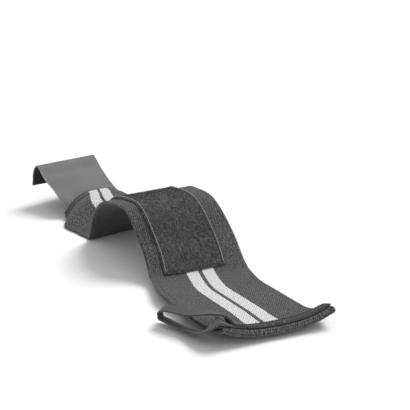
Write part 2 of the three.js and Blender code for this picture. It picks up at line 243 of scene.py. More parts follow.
def spline_through(distances, rows):
    """Smooth values through rows, each at its own distance, level where a value turns back."""
    distances, rows = np.asarray(distances, float), np.asarray(rows, float)
    spans = np.diff(distances)
    between = np.diff(rows, axis=0) / spans[:, None]
    slopes = np.empty_like(rows)
    slopes[0], slopes[-1] = between[0], between[-1]
    arriving, leaving = between[:-1], between[1:]
    before, after = spans[:-1, None], spans[1:, None]
    blended = (arriving * after + leaving * before) / (before + after)
    slopes[1:-1] = np.where(arriving * leaving > 0, blended, 0.0)

    def at(distance):
        distance = np.asarray(distance, float)
        k = np.clip(np.searchsorted(distances, distance) - 1, 0, len(spans) - 1)
        span = spans[k][..., None]
        t = (distance - distances[k])[..., None] / span
        start, end = 2 * t**3 - 3 * t**2 + 1, 3 * t**2 - 2 * t**3
        start_slope, end_slope = (t**3 - 2 * t**2 + t) * span, (t**3 - t**2) * span
        return start * rows[k] + end * rows[k + 1] + start_slope * slopes[k] + end_slope * slopes[k + 1]

    return at


def unit(vectors):
    return vectors / np.maximum(np.linalg.norm(vectors, axis=-1, keepdims=True), 1e-12)


def running(points):
    """The running distance of each point from the first one."""
    steps = np.linalg.norm(np.diff(np.asarray(points, float), axis=0), axis=1)
    return np.concatenate([[0.0], np.cumsum(steps)])


def smooth_step(value, low, high):
    t = np.clip((np.asarray(value, float) - low) / (high - low), 0, 1)
    return t * t * (3 - 2 * t)


class Lay:
    """The shape of the lying cloth, and the places of the pieces on it."""

    def __init__(self, sizes, folds):
        self.sizes = sizes
        start, rows = -folds.curl_reach, []
        for name, fold in FOLDS.items():
            reach, height = getattr(folds, name + "_reach"), getattr(folds, name + "_height")
            for row in fold:
                share = dict(zip(LAY_COLUMNS, row))
                rows.append(
                    (
                        start + share["run"] * reach,
                        share["side"] * sizes.band_width,
                        share["near"] * height,
                        share["far"] * height,
                        share["bulge"] * height,
                        math.radians(share["turn"]),
                    )
                )
            start += reach
        distances = running([(x, y, (near + far) / 2) for x, y, near, far, _, _ in rows])
        self.seam = distances[len(FOLDS["curl"]) - 1]
        self.rows_at = spline_through(distances, rows)
        self.tab_start = -self.seam
        self.band_end = distances[-1] - self.seam
        self.near_edge = -sizes.band_width / 2
        self.far_edge = sizes.band_width / 2
        self.nose_radius = sizes.band_thickness + sizes.hem_slit / 2
        self.nose_centre = self.band_end - self.nose_radius
        self.hem_edge = self.band_end - sizes.hem_depth
        self.panel_start = sizes.panel_end - sizes.panel_length
        self.panel_near = self.near_edge + sizes.panel_near_margin
        self.panel_far = self.panel_near + sizes.panel_width
        self.tape_start = self.nose_centre - sizes.tape_width
        self.tape_middle = (self.tape_start + self.nose_centre) / 2
        self.tape_near = self.near_edge + sizes.tape_near_margin
        self.origin = np.zeros(3)
        self.origin = self.frame_origin()

    def frame_origin(self):
        """Where the lay starts in the frame, from the middle of the band's own box there."""
        sizes = self.sizes
        along = np.linspace(-sizes.tab_overlap, self.nose_centre, 160)
        turn = np.linspace(0, math.pi, 9) - math.pi / 2
        stations = np.concatenate([along, along, self.nose_centre + self.nose_radius * np.cos(turn)])
        lift = self.band_lift(along)
        lifts = np.concatenate([lift, lift + sizes.band_thickness, self.nose_radius * (1 + np.sin(turn))])
        across = np.linspace(self.near_edge, self.far_edge, 9)
        points = self.off(stations[:, None], across[None], lifts[:, None]).reshape(-1, 3)
        low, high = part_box("elastic_band")
        middle = (points.min(0) + points.max(0)) / 2
        return np.array(((low.x + high.x) / 2 - middle[0], (low.y + high.y) / 2 - middle[1], 0.0))

    def point(self, along, across):
        """The underside of the lowest cloth. It rests flat where the lay would pass below the floor."""
        rows = self.rows_at(np.asarray(along, float) + self.seam)
        x, y, near, far, bulge, turn = np.moveaxis(rows, -1, 0)
        near, far = np.maximum(near, 0), np.maximum(far, 0)
        width = self.sizes.band_width
        chord = width * (1 - ARC_FACTOR * (bulge / width) ** 2)
        sine = (far - near) / chord
        cosine = np.sqrt(1 - sine**2)
        share = across / (width / 2)
        reach = share * chord / 2
        height = (near + far) / 2 + sine * reach + bulge * (1 - np.abs(share) ** BULGE_FULLNESS)
        place = (x - np.sin(turn) * cosine * reach, y + np.cos(turn) * cosine * reach, np.maximum(height, 0))
        return np.stack(np.broadcast_arrays(*place), -1) + self.origin

    def axes(self, along, across):
        """The directions along the cloth, across it and off its top side."""
        forward = unit(self.point(along + PROBE, across) - self.point(along - PROBE, across))
        sideways = unit(self.point(along, across + PROBE) - self.point(along, across - PROBE))
        return forward, sideways, unit(np.cross(forward, sideways))

    def off(self, along, across, lift):
        along, across, lift = np.broadcast_arrays(*(np.asarray(v, float) for v in (along, across, lift)))
        return self.point(along, across) + self.axes(along, across)[2] * lift[..., None]

    def band_lift(self, along):
        """The band climbs over the tab at one end, and over its own turned-under hem at the other."""
        sizes = self.sizes
        over_tab = 1 - smooth_step(along, 0, sizes.tab_ramp)
        over_hem = smooth_step(along, self.hem_edge - sizes.hem_ramp, self.hem_edge)
        tab = sizes.tab_thickness + sizes.seam_gap
        return over_tab * tab + over_hem * (sizes.band_thickness + sizes.hem_slit)

    def on_band(self, along):
        return self.band_lift(along) + self.sizes.band_thickness + self.sizes.seam_gap


def lay_of(context):
    return Lay(context.scene.wrap_sizes, context.scene.wrap_folds)


def marks(low, high, step, rim):
    """Places from low to high, close together within a rounded rim at both ends."""
    corner = rim * (1 - np.cos(np.radians(RIM_ANGLES)))
    count = max(2, round((high - low - 2 * rim) / step))
    middle = np.linspace(low + rim, high - rim, count + 1)[1:-1]
    return np.concatenate([low + corner, middle, high - corner[::-1]])


def rounded(places, low, high, rim):
    """The share of the full thickness at each place: a quarter round within the rim."""
    inward = np.clip(np.minimum(places - low, high - places) / rim, 0, 1)
    return np.sqrt(np.maximum(1 - (1 - inward) ** 2, 0))


def ridge(distance, height, half_width):
    """A rounded ridge where the distance is 0, or a groove where the height is below 0."""
    return height * np.exp(-((distance / half_width) ** 2))


def put(name, data):
    """A new object in the scene."""
    thing = bpy.data.objects.new(name, data)
    bpy.context.scene.collection.objects.link(thing)
    return thing


def new_piece(name, points, faces, material):
    """A smooth-shaded mesh object from points and a list of faces."""
    mesh = bpy.data.meshes.new(name)
    mesh.from_pydata(points.tolist(), [], faces)
    mesh.polygons.foreach_set("use_smooth", np.ones(len(mesh.polygons), bool))
    mesh.materials.append(material)
    mesh.update()
    return put(name, mesh)


def note_on(piece, name, values):
    """Keeps a number for each point of a piece, which its material reads."""
    attribute = piece.data.attributes.new(name, "FLOAT", "POINT")
    attribute.data.foreach_set("value", np.asarray(values, np.float32).ravel())


def cloth_piece(name, place, along, across, relief, material):
    """A closed cloth with rounded rims. place gives the middle and the half thickness of the cloth for each
    station and line, and relief is what stands proud of its upper side, 1, and of its under side, -1."""
    middle, half, flat_along, flat_across = place(along, across)
    stations, lines = middle.shape[:2]
    thick = np.maximum(np.linalg.norm(half, axis=-1), 1e-6)
    top = middle + half * (1 + relief(flat_along, flat_across, 1) / thick)[..., None]
    under = middle - half * (1 + relief(flat_along, flat_across, -1) / thick)[..., None]
    count = stations * lines
    outer = np.arange(count).reshape(stations, lines)
    inner = outer + count
    inner[0], inner[-1], inner[:, 0], inner[:, -1] = outer[0], outer[-1], outer[:, 0], outer[:, -1]
    upper = np.stack([outer[:-1, :-1], outer[1:, :-1], outer[1:, 1:], outer[:-1, 1:]], -1).reshape(-1, 4)
    lower = np.stack([inner[:-1, :-1], inner[:-1, 1:], inner[1:, 1:], inner[1:, :-1]], -1).reshape(-1, 4)
    faces = np.concatenate([upper, lower])
    used, faces = np.unique(faces, return_inverse=True)
    points = np.concatenate([top.reshape(-1, 3), under.reshape(-1, 3)])[used]
    piece = new_piece(name, points, faces.reshape(-1, 4).tolist(), material)
    for label, values in (("along", flat_along), ("across", flat_across)):
        note_on(piece, label, np.tile(values.ravel(), 2)[used])
    note_on(piece, "upper", np.repeat((1.0, 0.0), count)[used])
    return piece


def tubes(name, paths, up, radius, sides, material):
    """Many short threads as one mesh, narrower at both ends: paths is threads by points by 3, and up a
    direction at each point."""
    threads, steps = paths.shape[:2]
    run = unit(np.gradient(paths, axis=1))
    aside = unit(np.cross(run, up))
    above = np.cross(aside, run)
    turn = (np.arange(sides) * 2 * math.pi / sides)[None, None, :, None]
    radii = np.full(steps, radius)
    radii[0] = radii[-1] = radius * END_SHARE
    ring = aside[:, :, None] * np.cos(turn) + above[:, :, None] * np.sin(turn)
    points = (paths[:, :, None] + ring * radii[None, :, None, None]).reshape(-1, 3)
    index = np.arange(threads * steps * sides).reshape(threads, steps, sides)
    after = np.roll(index, -1, axis=2)
    walls = np.stack([index[:, :-1], after[:, :-1], after[:, 1:], index[:, 1:]], -1).reshape(-1, 4)
    first = [index[:, 0, ::-1][:, [0, k, k + 1]] for k in range(1, sides - 1)]
    last = [index[:, -1][:, [0, k, k + 1]] for k in range(1, sides - 1)]
    return new_piece(name, points, walls.tolist() + np.concatenate(first + last).tolist(), material)


class Nodes:
    """A material's node tree, with short calls for what the cloths need."""

    def __init__(self, name):
        self.material = bpy.data.materials.new(name)
        self.material.use_nodes = True
        self.tree = self.material.node_tree
        self.tree.nodes.clear()
        self.shader = self.tree.nodes.new("ShaderNodeBsdfPrincipled")
        output = self.tree.nodes.new("ShaderNodeOutputMaterial")
        self.tree.links.new(self.shader.outputs["BSDF"], output.inputs["Surface"])

    def plug(self, socket, value):
        if isinstance(value, bpy.types.NodeSocket):
            self.tree.links.new(value, socket)
        elif hasattr(value, "__len__") and len(value) == 3 and socket.type == "RGBA":
            socket.default_value = (*value, 1.0)
        else:
            socket.default_value = value

    def math(self, operation, *values):
        node = self.tree.nodes.new("ShaderNodeMath")
        node.operation = operation
        for socket, value in zip(node.inputs, values):
            self.plug(socket, value)
        return node.outputs[0]

    def noted(self, name):
        node = self.tree.nodes.new("ShaderNodeAttribute")
        node.attribute_name = name
        return node.outputs["Fac"]

    def joined(self, x, y, z=0.0):
        node = self.tree.nodes.new("ShaderNodeCombineXYZ")
        for socket, value in zip(node.inputs, (x, y, z)):
            self.plug(socket, value)
        return node.outputs[0]

    def noise(self, scale, detail=2.0, where=None, rough=0.5):
        node = self.tree.nodes.new("ShaderNodeTexNoise")
        node.inputs["Scale"].default_value = scale
        node.inputs["Detail"].default_value = detail
        node.inputs["Roughness"].default_value = rough
        if where is None:
            where = self.tree.nodes.new("ShaderNodeTexCoord").outputs["Object"]
        self.tree.links.new(where, node.inputs["Vector"])
        return node.outputs["Fac"]

    def between(self, value, low, high, start=0.0, end=1.0):
        node = self.tree.nodes.new("ShaderNodeMapRange")
        node.interpolation_type = "SMOOTHSTEP"
        for socket, number in zip(node.inputs, (value, low, high, start, end)):
            self.plug(socket, number)
        return node.outputs[0]

    def wave(self, value, pitch, phase=0.0):
        """A wave from 0 to 1 with that pitch along value."""
        angle = self.math("MULTIPLY_ADD", value, 2 * math.pi / pitch, phase)
        return self.math("MULTIPLY_ADD", self.math("SINE", angle), 0.5, 0.5)

    def mix(self, share, first, second):
        node = self.tree.nodes.new("ShaderNodeMix")
        node.data_type = "RGBA"
        self.plug(node.inputs["Factor"], share)
        self.plug(node.inputs["A"], first)
        self.plug(node.inputs["B"], second)
        return node.outputs["Result"]

    def strip(self, value, low, high, soft):
        """1 where value lies from low to high, with soft edges."""
        rising = self.between(value, low - soft, low + soft)
        falling = self.between(value, high - soft, high + soft, 1.0, 0.0)
        return self.math("MULTIPLY", rising, falling)

    def bump(self, height, distance, strength=1.0):
        node = self.tree.nodes.new("ShaderNodeBump")
        node.inputs["Strength"].default_value = strength
        node.inputs["Distance"].default_value = distance
        self.tree.links.new(height, node.inputs["Height"])
        self.tree.links.new(node.outputs[0], self.shader.inputs["Normal"])

    def finish(self, shade, grain, smooth, rough, sheen=0.0, specular=0.35):
        """Ends the material with its shade, and a roughness from smooth to rough that follows its grain."""
        self.plug(self.shader.inputs["Base Color"], shade)
        self.plug(self.shader.inputs["Roughness"], self.between(grain, *GRAIN, smooth, rough))
        self.shader.inputs["Specular IOR Level"].default_value = specular
        self.shader.inputs["Sheen Weight"].default_value = sheen
        self.shader.inputs["Sheen Roughness"].default_value = 0.5
        return self.material


# The range in which most of a noise lies.
GRAIN = (0.3, 0.7)
# The webbing's slanting threads, its ribs, and the row of dots beside its near edge, with a groove beside each
# edge.
TWILL_SLOPE = 0.83
TWILL_PITCH = 0.0012
RIB_PITCH = 0.0011
DOT_PITCH = 0.0022
DOT_MARGIN = 0.0042
DOT_HALF = 0.0004
# How far the edges of the stripes wander, and where the stripes dip under the tape.
STRIPE_RAGGED = 0.0007
STRIPE_END = 0.002
# The ribs along the tape, and the rows of hooks under the tab.
TAPE_RIB = 0.002
HOOK_PITCH = 0.0015
# How dark the shaded side of a thread and the clouds of the floor are, as shares of their colours.
THREAD_SHADE = 0.55
FLOOR_SHADE = 0.985


def webbing_material(colours, lay):
    """Charcoal ribbed webbing with two off-white stripes, and a row of dark dots beside its near edge."""
    sizes = lay.sizes
    n = Nodes("Webbing")
    along, across, upper = n.noted("along"), n.noted("across"), n.noted("upper")
    where = n.joined(along, across)
    patch = n.noise(60, 3, where)
    fleck = n.noise(760, 3, where, 0.7)
    diagonal = n.math("MULTIPLY_ADD", across, 1.0, n.math("MULTIPLY", along, TWILL_SLOPE))
    twill = n.wave(diagonal, TWILL_PITCH * math.hypot(1.0, TWILL_SLOPE))
    rib = n.wave(along, RIB_PITCH)
    weave = n.math("MULTIPLY_ADD", twill, 0.35, n.math("MULTIPLY", rib, 0.20))
    weave = n.math("MULTIPLY_ADD", n.between(fleck, 0.32, 0.68), 0.65, weave)
    ground = n.mix(n.between(weave, 0.34, 0.92), colours.webbing, colours.webbing_light)
    ground = n.mix(n.between(patch, 0.35, 0.75, 0.0, 0.25), ground, colours.webbing)
    centred = n.math("SUBTRACT", across, STRIPE_RAGGED / 2)
    ragged = n.math("MULTIPLY_ADD", n.noise(900, 1, where), STRIPE_RAGGED, centred)
    first = lay.near_edge + sizes.stripe_start
    second = first + sizes.stripe_width + sizes.stripe_gap
    pair = [n.strip(ragged, low, low + sizes.stripe_width, 0.00012) for low in (first, second)]
    stripes = n.math("ADD", *pair)
    stripes_end = lay.tape_start + STRIPE_END
    before_hem = n.between(along, stripes_end, stripes_end + 0.0002, 1.0, 0.0)
    stripes = n.math("MULTIPLY", stripes, n.math("MULTIPLY", upper, before_hem))
    pale = n.mix(n.between(weave, 0.25, 0.75), colours.stripe_shade, colours.stripe)
    cloth = n.mix(stripes, ground, pale)
    row_middle = lay.near_edge + DOT_MARGIN
    row = n.strip(across, row_middle - DOT_HALF, row_middle + DOT_HALF, DOT_HALF / 2)
    dots = n.math("MULTIPLY", row, n.between(n.wave(along, DOT_PITCH), 0.45, 0.65))
    cloth = n.mix(n.math("MULTIPLY", dots, 0.85), cloth, colours.dots)
    # Painted shade: the underside is mixed halfway towards the dark thread colour, as it faces the floor and
    # lies in shade.
    painted_underside_shade = n.math("MULTIPLY", n.math("SUBTRACT", 1.0, upper), 0.5)
    n.bump(n.math("SUBTRACT", weave, n.math("MULTIPLY", dots, 0.8)), 0.00035, 0.9)
    return n.finish(n.mix(painted_underside_shade, cloth, colours.dark_thread), fleck, 0.84, 0.96, sheen=0.12)


def pile_material(colours):
    """Dark mottled pile."""
    n = Nodes("Pile")
    along, across = n.noted("along"), n.noted("across")
    where = n.joined(along, across)
    clump = n.noise(420, 3, where)
    fibre = n.noise(1700, 2, where)
    share = n.between(n.math("MULTIPLY_ADD", clump, 0.6, n.math("MULTIPLY", fibre, 0.4)), 0.38, 0.66)
    n.bump(n.math("ADD", clump, fibre), 0.0006)
    return n.finish(n.mix(share, colours.pile, colours.pile_light), fibre, 0.9, 1.0, sheen=0.15)


def tuft_material(colours):
    """The loops of the pile, each with its own shade."""
    n = Nodes("Pile loops")
    shade = n.noise(650, 3)
    share = n.between(shade, 0.36, 0.68)
    return n.finish(n.mix(share, colours.pile, colours.pile_light), shade, 0.85, 1.0, sheen=0.2)


def strip_material(colours, lay):
    """The smooth grey strip: a painted highlight along its thin edges, and a dark underside."""
    n = Nodes("Hook strip")
    along, across, upper = n.noted("along"), n.noted("across"), n.noted("upper")
    where = n.joined(along, across)
    grain = n.noise(900, 3, where)
    cloud = n.noise(45, 2, where)
    face = n.mix(n.between(cloud, *GRAIN, 0.0, 0.22), colours.strip, colours.strip_light)
    face = n.mix(n.between(grain, 0.35, 0.7, 0.0, 0.2), face, colours.strip_dark)
    # Painted highlight: the rounded thin edges are mixed towards a pale colour, as if they caught the light.
    half = lay.sizes.tab_width / 2
    edge = n.between(n.math("ABSOLUTE", across), half - 0.0009, half - 0.0003)
    face = n.mix(n.math("MULTIPLY", edge, 0.55), face, colours.strip_edge_highlight)
    rows = n.wave(across, HOOK_PITCH)
    below = n.mix(n.math("MULTIPLY", rows, 0.5), colours.hooks, colours.between_hooks)
    shown = n.mix(n.math("MAXIMUM", upper, edge), below, face)
    n.bump(n.math("MULTIPLY_ADD", grain, 0.7, cloud), 0.00012, 0.6)
    return n.finish(shown, grain, 0.5, 0.66, specular=0.4)


def tape_material(colours):
    """Dark ribbed tape, paler on its ribs."""
    n = Nodes("Ribbed tape")
    along, across = n.noted("along"), n.noted("across")
    where = n.joined(along, across)
    fleck = n.noise(1600, 2, where)
    ribs = n.wave(across, TAPE_RIB)
    cords = n.wave(along, RIB_PITCH)
    weave = n.math("MULTIPLY_ADD", cords, 0.3, n.math("MULTIPLY", fleck, 0.4))
    weave = n.math("MULTIPLY_ADD", ribs, 0.45, weave)
    n.bump(weave, 0.0003)
    shade = n.mix(n.between(weave, 0.35, 0.95), colours.tape, colours.tape_light)
    return n.finish(shade, fleck, 0.8, 0.94, sheen=0.12)


def thread_material(name, thread):
    """Twisted sewing thread."""
    n = Nodes(name)
    twist = n.noise(2600, 2)
    darker = tuple(THREAD_SHADE * part for part in thread)
    n.bump(twist, 0.0001)
    return n.finish(n.mix(n.between(twist, 0.35, 0.65), darker, tuple(thread)), twist, 0.6, 0.8, sheen=0.1)


def hook_material(colours):
    """Dark moulded hooks."""
    n = Nodes("Hooks")
    grain = n.noise(900, 2)
    return n.finish(n.mix(grain, colours.hooks, colours.hooks_light), grain, 0.4, 0.6)


def floor_material(colours):
    """A plain pale floor."""
    n = Nodes("Pale floor")
    cloud = n.noise(3, 2)
    darker = tuple(FLOOR_SHADE * part for part in colours.floor)
    return n.finish(n.mix(cloud, tuple(colours.floor), darker), cloud, 0.85, 0.95, specular=0.2)


class WrapOperator(bpy.types.Operator):
    """What all the operators share."""

    bl_options = {"REGISTER", "UNDO"}

    def execute(self, context):
        self.make(context, lay_of(context), context.scene.wrap_colours)
        return {"FINISHED"}


def layer_place(lay, lift_at, thickness, low, high, start, end, rim):
    """place for cloth_piece: one layer on the lay, rounded at all four edges."""

    def place(along, across):
        a, s = np.meshgrid(along, across, indexing="ij")
        share = rounded(s, low, high, rim) * rounded(a, start, end, rim)
        off = lay.axes(a, s)[2]
        middle = lay.point(a, s) + off * (lift_at(a) + thickness / 2)[..., None]
        return middle, off * (share * thickness / 2)[..., None], a, s

    return place


class WRAP_OT_stage(bpy.types.Operator):
    """Make the camera, the pale floor and the soft lights"""

    bl_idname = "wrap.stage"
    bl_label = "Stage"
    sensor = 36.0
    clip_near, clip_far = 0.01, 50.0

    def execute(self, context):
        stage, scene = context.scene.wrap_stage, context.scene
        data = bpy.data.cameras.new("Camera")
        data.sensor_width = self.sensor
        data.lens = self.sensor / (2 * math.tan(stage.field_of_view / 2))
        data.clip_start, data.clip_end = self.clip_near, self.clip_far
        camera = put("Camera", data)
        camera.location = stage.camera_place
        camera.rotation_euler = Euler((math.pi / 2 - stage.camera_pitch, 0.0, stage.camera_heading))
        scene.camera = camera
        self.floor(stage.floor_half, scene.wrap_colours)
        self.sun("Key light", stage.key_place, stage.key_softness, stage.key_strength)
        self.sun("Fill light", stage.fill_place, stage.fill_softness, stage.fill_strength)
        world = bpy.data.worlds.new("Studio")
        world.use_nodes = True
        background = world.node_tree.nodes["Background"]
        background.inputs["Color"].default_value = (1.0, 1.0, 1.0, 1.0)
        background.inputs["Strength"].default_value = stage.surround
        scene.world = world
        scene.view_settings.view_transform = "Standard"
        return {"FINISHED"}

    def floor(self, half, colours):
        corners = np.array([(-half, -half, 0), (half, -half, 0), (half, half, 0), (-half, half, 0)], float)
        floor = new_piece("floor", corners, [(0, 1, 2, 3)], floor_material(colours))

    def sun(self, name, place, softness, strength):
        """A soft light that shines from its place towards the middle of the frame."""
        data = bpy.data.lights.new(name, "SUN")
        data.angle, data.energy = softness, strength
        light = put(name, data)
        light.location = place
        light.rotation_euler = (-Vector(place)).to_track_quat("-Z", "Y").to_euler()


class WRAP_OT_band(WrapOperator):
    """Make the elastic band with its turned-under hem"""

    bl_idname = "wrap.band"
    bl_label = "Elastic band"
    step_along = 0.0010
    step_across = 0.0009
    nose_steps = 9
    cord_margin = 0.0022
    hem_seam = 0.0015

    def to_nose(self, lay, start, rim):
        """Places from a raw edge to the nose, close together at the raw edge only."""
        places = marks(start, lay.nose_centre, self.step_along, rim)
        return np.append(places[: 1 - len(RIM_ANGLES)], lay.nose_centre)

    def stations(self, lay):
        """Each station's inner and outer point as along and lift, its share of the thickness, and its place
        along the cloth."""
        sizes = lay.sizes
        rim = sizes.band_thickness / 2
        start = -sizes.tab_overlap
        forth = self.to_nose(lay, start, rim)
        lift = lay.band_lift(forth)
        upper = np.stack([forth, lift, forth, lift + sizes.band_thickness], -1)
        angle = math.pi / 2 - math.pi * np.arange(1, self.nose_steps) / self.nose_steps
        nose = []
        for radius in (sizes.hem_slit / 2, lay.nose_radius):
            nose += [lay.nose_centre + radius * np.cos(angle), lay.nose_radius + radius * np.sin(angle)]
        back = self.to_nose(lay, lay.hem_edge, rim)[::-1]
        turned = np.stack([back, np.full(len(back), sizes.band_thickness), back, np.zeros(len(back))], -1)
        rows = np.concatenate([upper, np.stack(nose, -1), turned])
        first, last = rounded(forth, start, lay.band_end, rim), rounded(back, lay.hem_edge, lay.band_end, rim)
        share = np.concatenate([first, np.ones(len(angle)), last])
        return rows, share, start + running((rows[:, :2] + rows[:, 2:]) / 2)

    def make(self, context, lay, colours):
        sizes = lay.sizes
        rows, ends, run = self.stations(lay)
        rim = sizes.band_thickness / 2
        across = marks(lay.near_edge, lay.far_edge, self.step_across, rim)

        def place(_, lines):
            inner = lay.off(rows[:, 0, None], lines[None], rows[:, 1, None])
            outer = lay.off(rows[:, 2, None], lines[None], rows[:, 3, None])
            share = rounded(lines, lay.near_edge, lay.far_edge, rim)[None] * ends[:, None]
            flat_along, flat_across = np.broadcast_arrays(run[:, None], lines[None])
            return (inner + outer) / 2, (outer - inner) / 2 * share[..., None], flat_along, flat_across

        def relief(a, s, side):
            edge = np.minimum(s - lay.near_edge, lay.far_edge - s)
            inside = smooth_step(edge, 0.0004, 0.0016)
            groove = ridge(edge - DOT_MARGIN, -0.00028, 0.0006)
            cord = ridge(edge - self.cord_margin, 0.00012, 0.0010)
            wrinkle = 0.00008 * np.sin(a * 900 + 2.0 * np.sin(s * 160)) * np.sin(s * 240 + a * 70)
            seam = ridge(a - lay.hem_edge - self.hem_seam, -0.00022, 0.0010)
            return inside * (groove + cord + wrinkle + seam)

        band = cloth_piece("elastic_band_cloth", place, run, across, relief, webbing_material(colours, lay))
        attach(band, BODY)
        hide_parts("elastic_band")


class WRAP_OT_tab(WrapOperator):
    """Make the smooth hook strip and the rows of hooks under it"""

    bl_idname = "wrap.tab"
    bl_label = "Hook tab"
    step = 0.0011
    edge_margin = 0.0012
    hook_radius = 0.00013
    hook_sides = 4
    # One hook, as shares of its height: how far it leans along the strip, and how far it hangs below it.
    hook_rows = ((0.0, -0.1), (0.0, 0.45), (0.12, 0.78), (0.45, 0.95), (0.75, 0.72))

    def make(self, context, lay, colours):
        sizes = lay.sizes
        low, high = -sizes.tab_width / 2, sizes.tab_width / 2
        strip_thickness = sizes.tab_thickness - sizes.hook_height
        rim = strip_thickness / 2
        along, across = marks(lay.tab_start, 0.0, self.step, rim), marks(low, high, self.step, rim)

        def lift_at(a):
            return np.full(np.shape(a), sizes.hook_height)

        def relief(a, s, side):
            edge = np.minimum(s - low, high - s)
            return ridge(edge - self.edge_margin, 0.00005, 0.0006) + 0.00003 * np.sin(a * 130) * np.sin(s * 90)

        place = layer_place(lay, lift_at, strip_thickness, low, high, lay.tab_start, 0.0, rim)

        strip = cloth_piece("hook_tab_strip", place, along, across, relief, strip_material(colours, lay))
        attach(strip, BODY)
        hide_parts("hook_tab")
        hooks = self.hooks(lay, colours, low, high)

    def hooks(self, lay, colours, low, high):
        margin = 2 * HOOK_PITCH
        a = np.arange(lay.tab_start + margin, -margin, HOOK_PITCH)
        s = np.arange(low + margin, high - margin, HOOK_PITCH)
        a, s = (grid.ravel()[:, None] for grid in np.meshgrid(a, s, indexing="ij"))
        lean, hang = np.array(self.hook_rows).T * lay.sizes.hook_height
        paths = lay.off(a + lean[None], s, lay.sizes.hook_height - hang[None])
        sideways = np.broadcast_to(lay.axes(a, s)[1], paths.shape)
        hooks = tubes("hook_rows", paths, sideways, self.hook_radius, self.hook_sides, hook_material(colours))
        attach(hooks, BODY)
        return hooks


class WRAP_OT_panel(WrapOperator):
    """Make the pile panel and the loops of its pile"""

    bl_idname = "wrap.panel"
    bl_label = "Pile panel"
    step = 0.0008
    cloth_share = 0.7
    seam_margin = 0.0016
    loop_count = 6500
    loop_margin = 0.0006
    loop_widths = (0.0006, 0.0015)
    loop_heights = (0.5, 1.0)
    loop_lean = 0.3
    loop_sink = 0.0001
    fibre = 0.00009
    fibre_sides = 3

    def make(self, context, lay, colours):
        sizes = lay.sizes
        base = sizes.panel_thickness * self.cloth_share
        rim = base / 2
        start, end, low, high = lay.panel_start, sizes.panel_end, lay.panel_near, lay.panel_far
        place = layer_place(lay, lay.on_band, base, low, high, start, end, rim)

        def relief(a, s, side):
            edge = np.minimum(np.minimum(s - low, high - s), np.minimum(a - start, end - a))
            seam = ridge(edge - self.seam_margin, -0.00025, 0.0007)
            swell = 0.00018 * np.sin(a * 210 + 3 * np.sin(s * 120)) * np.sin(s * 190 + 2 * np.sin(a * 80))
            return (seam + swell * smooth_step(edge, 0.001, 0.005)) * (side > 0)

        along, across = marks(start, end, self.step, rim), marks(low, high, self.step, rim)
        panel = cloth_piece("pile_panel_cloth", place, along, across, relief, pile_material(colours))
        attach(panel, BODY)
        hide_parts("pile_panel")
        tufts = self.tufts(context, lay, colours, base)

    def tufts(self, context, lay, colours, base):
        """Small arched loops of fibre, standing every way on the panel."""
        sizes = lay.sizes
        draw = np.random.default_rng(context.scene.wrap_stage.seed)
        margin, many = self.loop_margin, (self.loop_count, 1)
        a = draw.uniform(lay.panel_start + margin, sizes.panel_end - margin, many)
        s = draw.uniform(lay.panel_near + margin, lay.panel_far - margin, many)
        heading = draw.uniform(0, math.pi, many)
        width = draw.uniform(*self.loop_widths, many)
        height = draw.uniform(*self.loop_heights, many) * sizes.pile_height
        lean = draw.normal(0, self.loop_lean, many)
        turn = np.linspace(0, math.pi, 6)[None]
        beside = -np.cos(turn) * width / 2
        up = np.sin(turn) * height
        a = a + beside * np.cos(heading) - up * lean * np.sin(heading)
        s = s + beside * np.sin(heading) + up * lean * np.cos(heading)
        paths = lay.off(a, s, lay.on_band(a) + base - self.loop_sink + up)
        off = lay.axes(a, s)[2]
        level = unit(np.cross(np.gradient(paths, axis=1), off))
        tufts = tubes("pile_tufts", paths, level, self.fibre, self.fibre_sides, tuft_material(colours))
        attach(tufts, BODY)
        return tufts


def tape_relief(width):
    """Lengthwise ribs and fine crosswise cords on a tape of that width, level at its edges."""

    def relief(a, s, side):
        edge = width / 2 - np.abs(s)
        ribs = 0.00010 * np.cos(s * 2 * math.pi / TAPE_RIB)
        cords = 0.00005 * np.sin(a * 2 * math.pi / RIB_PITCH)
        return smooth_step(edge, 0.0002, 0.001) * (ribs + cords)

    return relief


class WRAP_OT_tape(WrapOperator):
    """Make the ribbed tape across the hem"""

    bl_idname = "wrap.tape"
    bl_label = "End tape"
    step = 0.00032

    def make(self, context, lay, colours):
        sizes = lay.sizes
        rim = sizes.tape_thickness / 2

        def place(lengthwise, widthwise):
            t, w = np.meshgrid(lengthwise, widthwise, indexing="ij")
            share = rounded(w, -sizes.tape_width / 2, sizes.tape_width / 2, rim)
            share = share * rounded(t, lay.tape_near, lay.far_edge, rim)
            along = lay.tape_middle - w
            off = lay.axes(along, t)[2]
            lift = lay.on_band(along) + sizes.tape_thickness / 2
            point = lay.point(along, t) + off * lift[..., None]
            return point, off * (share * sizes.tape_thickness / 2)[..., None], t, w

        lengthwise = marks(lay.tape_near, lay.far_edge, self.step, rim)
        widthwise = marks(-sizes.tape_width / 2, sizes.tape_width / 2, self.step, rim)
        relief = tape_relief(sizes.tape_width)
        tape = cloth_piece("end_tape_cloth", place, lengthwise, widthwise, relief, tape_material(colours))
        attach(tape, BODY)
        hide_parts("end_tape")


